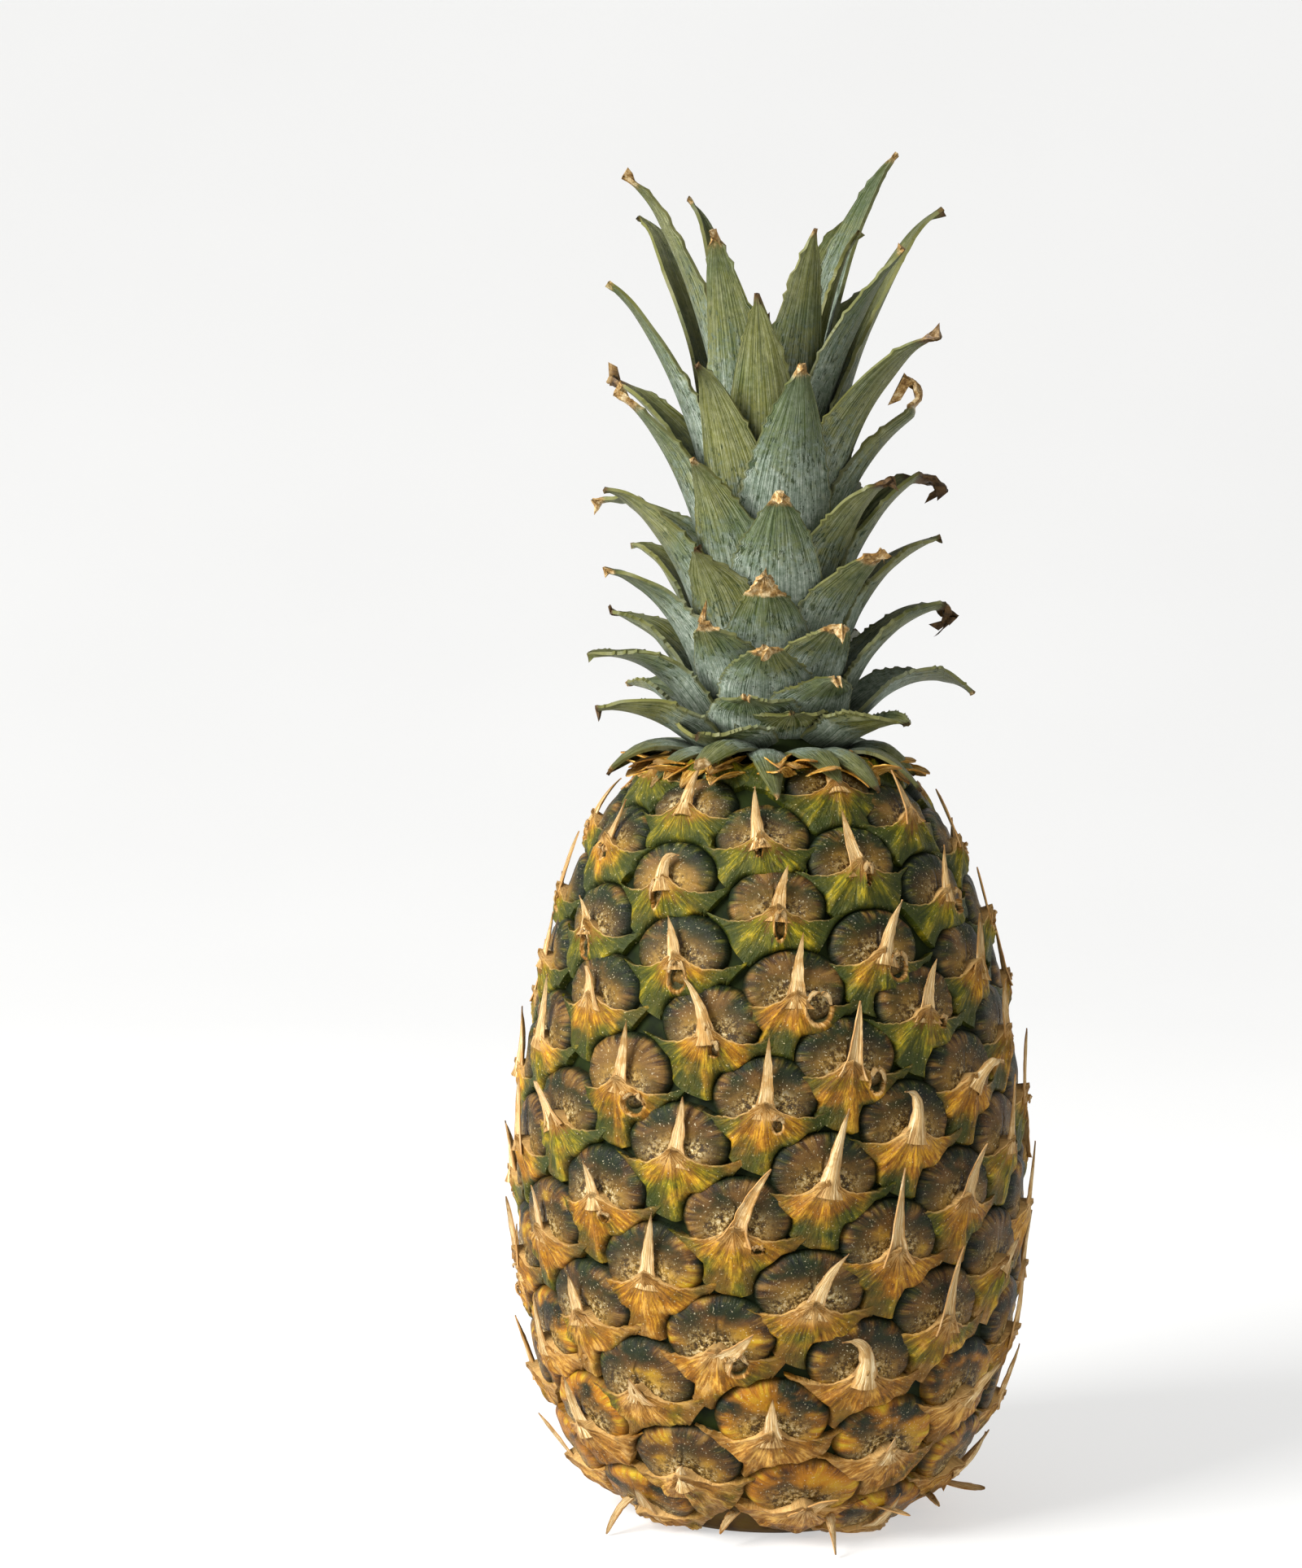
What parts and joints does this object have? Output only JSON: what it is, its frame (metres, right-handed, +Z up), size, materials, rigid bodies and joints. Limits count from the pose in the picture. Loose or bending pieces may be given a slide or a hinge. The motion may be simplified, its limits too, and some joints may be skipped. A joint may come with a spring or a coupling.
{
  "type": "pineapple",
  "caption": "Whole pineapple with its leafy crown, standing upright on its cut base, its rind in a spiral of eyes, bracts and dry spines.",
  "frame": {"origin": "middle of the flat base, on the surface that the fruit stands on", "axes": "+Z up through the crown, -Y towards the side seen in the picture"},
  "size_m": [0.1344, 0.1329, 0.3428],
  "materials": {
    "rind": "waxy green-brown eyes with yellow-green to orange bracts and cream papery spines",
    "crown_leaf": "grey-green leaf with a whitish bloom, olive tips and dry brown points",
    "cut_stalk": "pale, fibrous cut end of the stalk, matt"
  },
  "bodies": {
    "root": {"fruit": "rind", "crown": "crown_leaf", "cut_stalk": "cut_stalk"}
  },
  "joints": []
}
